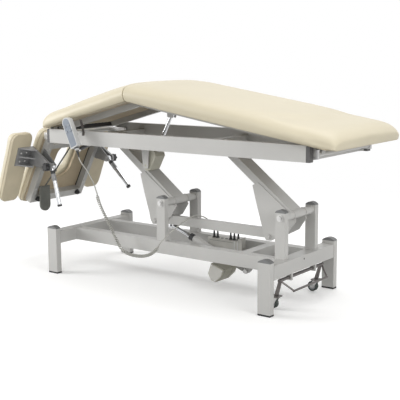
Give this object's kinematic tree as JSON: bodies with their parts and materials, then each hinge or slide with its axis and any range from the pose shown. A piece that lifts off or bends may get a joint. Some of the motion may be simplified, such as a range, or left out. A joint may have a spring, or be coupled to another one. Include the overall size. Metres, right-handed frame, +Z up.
{
  "type": "electric massage table",
  "caption": "Height-adjustable treatment couch with peaked padded top, hanging head section with face hole, tilting armrests, hand control and retracting casters.",
  "frame": {"origin": "on the floor, under the middle of the table's box", "axes": "+X to the foot end, +Y to the far side in the picture, +Z up"},
  "size_m": [2.0432, 0.77, 1.01],
  "materials": {
    "frame_paint": "satin light grey powder coat",
    "cap_plastic": "matte dark grey moulding",
    "rubber": "matte black rubber",
    "zinc": "bright zinc plate",
    "chrome": "polished",
    "upholstery": "cream leatherette over foam",
    "board": "board covered in tan cloth",
    "motor_plastic": "beige grey moulding",
    "light_plastic": "light grey moulding",
    "black_plastic": "matte black moulding",
    "nylon": "white nylon",
    "cord": "grey jacket",
    "wheel_tyre": "dark grey green tyre",
    "gas_black": "dark grey paint"
  },
  "bodies": {
    "base": {"base_end_frames": "frame_paint", "base_rails": "frame_paint", "pivot_posts": "frame_paint", "dome_caps": "cap_plastic", "rubber_feet": "rubber", "pivot_shafts": "zinc", "control_box": "light_plastic", "box_leads": "black_plastic", "handset_lead": "cord", "curly_cord": "cord", "box_lead": "cord"},
    "head_arm": {"left_lift_arm": "frame_paint", "left_gusset": "frame_paint"},
    "foot_arm": {"right_lift_arm": "frame_paint", "right_gusset": "frame_paint"},
    "tie_bar": {"tie_bar": "frame_paint"},
    "lift_motor": {"lift_actuator_tube": "frame_paint", "lift_motor_housing": "motor_plastic"},
    "lift_rod": {"lift_actuator_rod": "chrome"},
    "upper_frame": {"upper_side_rails": "frame_paint", "upper_cross_tubes": "frame_paint", "rail_end_caps": "cap_plastic", "hinge_brackets": "zinc", "upper_pivot_pins": "zinc", "peak_hanger": "frame_paint", "handset_case": "light_plastic"},
    "lift_up_button": {"button_lift_up": "black_plastic"},
    "lift_down_button": {"button_lift_down": "black_plastic"},
    "peak_up_button": {"button_peak_up": "black_plastic"},
    "peak_down_button": {"button_peak_down": "black_plastic"},
    "peak_motor": {"peak_actuator_tube": "frame_paint", "peak_motor_housing": "motor_plastic"},
    "peak_rod": {"peak_actuator_rod": "chrome"},
    "foot_section": {"foot_cushion": "upholstery", "foot_board": "board", "foot_frame": "frame_paint"},
    "back_section": {"back_cushion": "upholstery", "back_board": "board", "back_frame": "frame_paint", "back_glides": "nylon"},
    "head_section": {"head_cushion": "upholstery", "head_board": "board", "head_frame": "frame_paint", "arm_clamps": "zinc"},
    "gas_spring": {"gas_spring_cylinder": "gas_black"},
    "gas_rod": {"gas_spring_rod": "chrome"},
    "release_lever": {"release_lever": "gas_black"},
    "near_tube": {"near_arm_tube": "chrome"},
    "near_armrest": {"near_arm_bracket": "zinc", "near_arm_pad": "upholstery"},
    "near_knob": {"near_star_knob": "black_plastic"},
    "far_tube": {"far_arm_tube": "chrome"},
    "far_armrest": {"far_arm_bracket": "zinc", "far_arm_pad": "upholstery"},
    "far_knob": {"far_star_knob": "black_plastic"},
    "caster_bar": {"caster_lift_bar": "zinc"},
    "near_fork": {"near_caster_fork": "zinc"},
    "far_fork": {"far_caster_fork": "zinc"},
    "near_wheel": {"near_caster_wheel": "wheel_tyre"},
    "far_wheel": {"far_caster_wheel": "wheel_tyre"}
  },
  "joints": [
    {"name": "lift", "type": "hinge", "parent": "base", "child": "head_arm", "pos_m": [-0.03199, 0, 0.414], "axis": [0, 1, 0], "range_deg": [-21, 8], "deforming": ["handset_lead", "curly_cord", "box_lead"]},
    {"name": "foot_arm_pivot", "type": "hinge", "parent": "base", "child": "foot_arm", "pos_m": [0.66311, 0, 0.414], "axis": [0, 1, 0], "range_deg": [-21.02, 8.01]},
    {"name": "frame_level", "type": "hinge", "parent": "head_arm", "child": "upper_frame", "pos_m": [-0.43263, 0, 0.72142], "axis": [0, 1, 0], "range_deg": [-8.01, 21.02]},
    {"name": "tie_bar_level", "type": "hinge", "parent": "head_arm", "child": "tie_bar", "pos_m": [-0.15549, 0, 0.3005], "axis": [0, 1, 0], "range_deg": [-8.01, 21.02]},
    {"name": "lift_motor_tilt", "type": "hinge", "parent": "base", "child": "lift_motor", "pos_m": [0.37881, 0.012, 0.1], "axis": [0, 1, 0], "range_deg": [-0.287, 0.672]},
    {"name": "lift_stroke", "type": "slide", "parent": "lift_motor", "child": "lift_rod", "axis": [-0.9386, 0, 0.345], "range_m": [-0.05577, 0.02155]},
    {"name": "peak", "type": "hinge", "parent": "upper_frame", "child": "foot_section", "pos_m": [0.89381, 0, 0.725], "axis": [0, 1, 0], "range_deg": [-8.9, 0]},
    {"name": "ridge_fold", "type": "hinge", "parent": "foot_section", "child": "back_section", "pos_m": [-0.10167, 0, 0.90923], "axis": [0, 1, 0], "range_deg": [-0.05, 23.95]},
    {"name": "peak_motor_tilt", "type": "hinge", "parent": "upper_frame", "child": "peak_motor", "pos_m": [-0.12019, -0.1085, 0.598], "axis": [0, 1, 0], "range_deg": [-0.05, 18.94]},
    {"name": "peak_stroke", "type": "slide", "parent": "peak_motor", "child": "peak_rod", "axis": [0.4691, 0, 0.8831], "range_m": [-0.11689, 0.0005]},
    {"name": "head_tilt", "type": "hinge", "parent": "upper_frame", "child": "head_section", "pos_m": [-0.72619, 0, 0.725], "axis": [0, 1, 0], "range_deg": [0, 62.3]},
    {"name": "gas_spring_tilt", "type": "hinge", "parent": "upper_frame", "child": "gas_spring", "pos_m": [-0.53563, 0, 0.712], "axis": [0, 1, 0], "range_deg": [-0.05, 18.86]},
    {"name": "gas_spring_stroke", "type": "slide", "parent": "gas_spring", "child": "gas_rod", "axis": [-0.919, 0, -0.3942], "range_m": [-0.0005, 0.06523]},
    {"name": "release", "type": "hinge", "parent": "head_section", "child": "release_lever", "pos_m": [-0.77489, -0.154, 0.52468], "axis": [0, 1, 0], "range_deg": [-8, 0], "stiffness_Nm_per_rad": 10, "springref_deg": 9.74},
    {"name": "near_tube_swing", "type": "hinge", "parent": "head_section", "child": "near_tube", "pos_m": [-0.72504, -0.22, 0.55724], "axis": [0, 1, 0], "range_deg": [-66, 14]},
    {"name": "near_armrest_tilt", "type": "hinge", "parent": "head_section", "child": "near_armrest", "pos_m": [-0.72504, -0.26, 0.55724], "axis": [0, 1, 0], "range_deg": [-10, 20]},
    {"name": "near_knob_turn", "type": "hinge", "parent": "head_section", "child": "near_knob", "pos_m": [-0.72504, -0.26, 0.55724], "axis": [0, 1, 0], "range_deg": [-180, 180]},
    {"name": "far_tube_swing", "type": "hinge", "parent": "head_section", "child": "far_tube", "pos_m": [-0.72504, 0.22, 0.55724], "axis": [0, 1, 0], "range_deg": [-35, 45]},
    {"name": "far_armrest_tilt", "type": "hinge", "parent": "head_section", "child": "far_armrest", "pos_m": [-0.72504, 0.26, 0.55724], "axis": [0, 1, 0], "range_deg": [-10, 20]},
    {"name": "far_knob_turn", "type": "hinge", "parent": "head_section", "child": "far_knob", "pos_m": [-0.72504, 0.26, 0.55724], "axis": [0, 1, 0], "range_deg": [-180, 180]},
    {"name": "caster_lift", "type": "hinge", "parent": "base", "child": "caster_bar", "pos_m": [0.68981, 0, 0.14], "axis": [0, 1, 0], "range_deg": [-20, 0]},
    {"name": "near_caster_swivel", "type": "hinge", "parent": "caster_bar", "child": "near_fork", "pos_m": [0.66681, -0.18, 0.06], "axis": [0, 0, 1], "continuous": true},
    {"name": "near_wheel_spin", "type": "hinge", "parent": "near_fork", "child": "near_wheel", "pos_m": [0.64881, -0.18, 0.029], "axis": [0, 1, 0], "continuous": true},
    {"name": "far_caster_swivel", "type": "hinge", "parent": "caster_bar", "child": "far_fork", "pos_m": [0.66681, 0.18, 0.06], "axis": [0, 0, 1], "continuous": true},
    {"name": "far_wheel_spin", "type": "hinge", "parent": "far_fork", "child": "far_wheel", "pos_m": [0.64881, 0.18, 0.029], "axis": [0, 1, 0], "continuous": true},
    {"name": "press_lift_up", "type": "slide", "parent": "upper_frame", "child": "lift_up_button", "axis": [0, 1, 0], "range_m": [0, 0.0015], "stiffness_N_per_m": 300, "springref_m": -0.001},
    {"name": "press_lift_down", "type": "slide", "parent": "upper_frame", "child": "lift_down_button", "axis": [0, 1, 0], "range_m": [0, 0.0015], "stiffness_N_per_m": 300, "springref_m": -0.001},
    {"name": "press_peak_up", "type": "slide", "parent": "upper_frame", "child": "peak_up_button", "axis": [0, 1, 0], "range_m": [0, 0.0015], "stiffness_N_per_m": 300, "springref_m": -0.001},
    {"name": "press_peak_down", "type": "slide", "parent": "upper_frame", "child": "peak_down_button", "axis": [0, 1, 0], "range_m": [0, 0.0015], "stiffness_N_per_m": 300, "springref_m": -0.001}
  ],
  "couplings": [
    {"joint": "foot_arm_pivot", "follows": "lift", "ratio": 1},
    {"joint": "frame_level", "follows": "lift", "ratio": -1},
    {"joint": "tie_bar_level", "follows": "lift", "ratio": -1},
    {"joint": "lift_motor_tilt", "follows": "lift", "ratio": -0.029616},
    {"joint": "lift_stroke", "follows": "lift", "m_per_rad": 0.15079},
    {"joint": "ridge_fold", "follows": "peak", "ratio": -2.6854},
    {"joint": "peak_motor_tilt", "follows": "peak", "ratio": -2.1226},
    {"joint": "peak_stroke", "follows": "peak", "m_per_rad": 0.74931},
    {"joint": "gas_spring_tilt", "follows": "head_tilt", "ratio": 0.30192},
    {"joint": "gas_spring_stroke", "follows": "head_tilt", "m_per_rad": 0.059527}
  ]
}
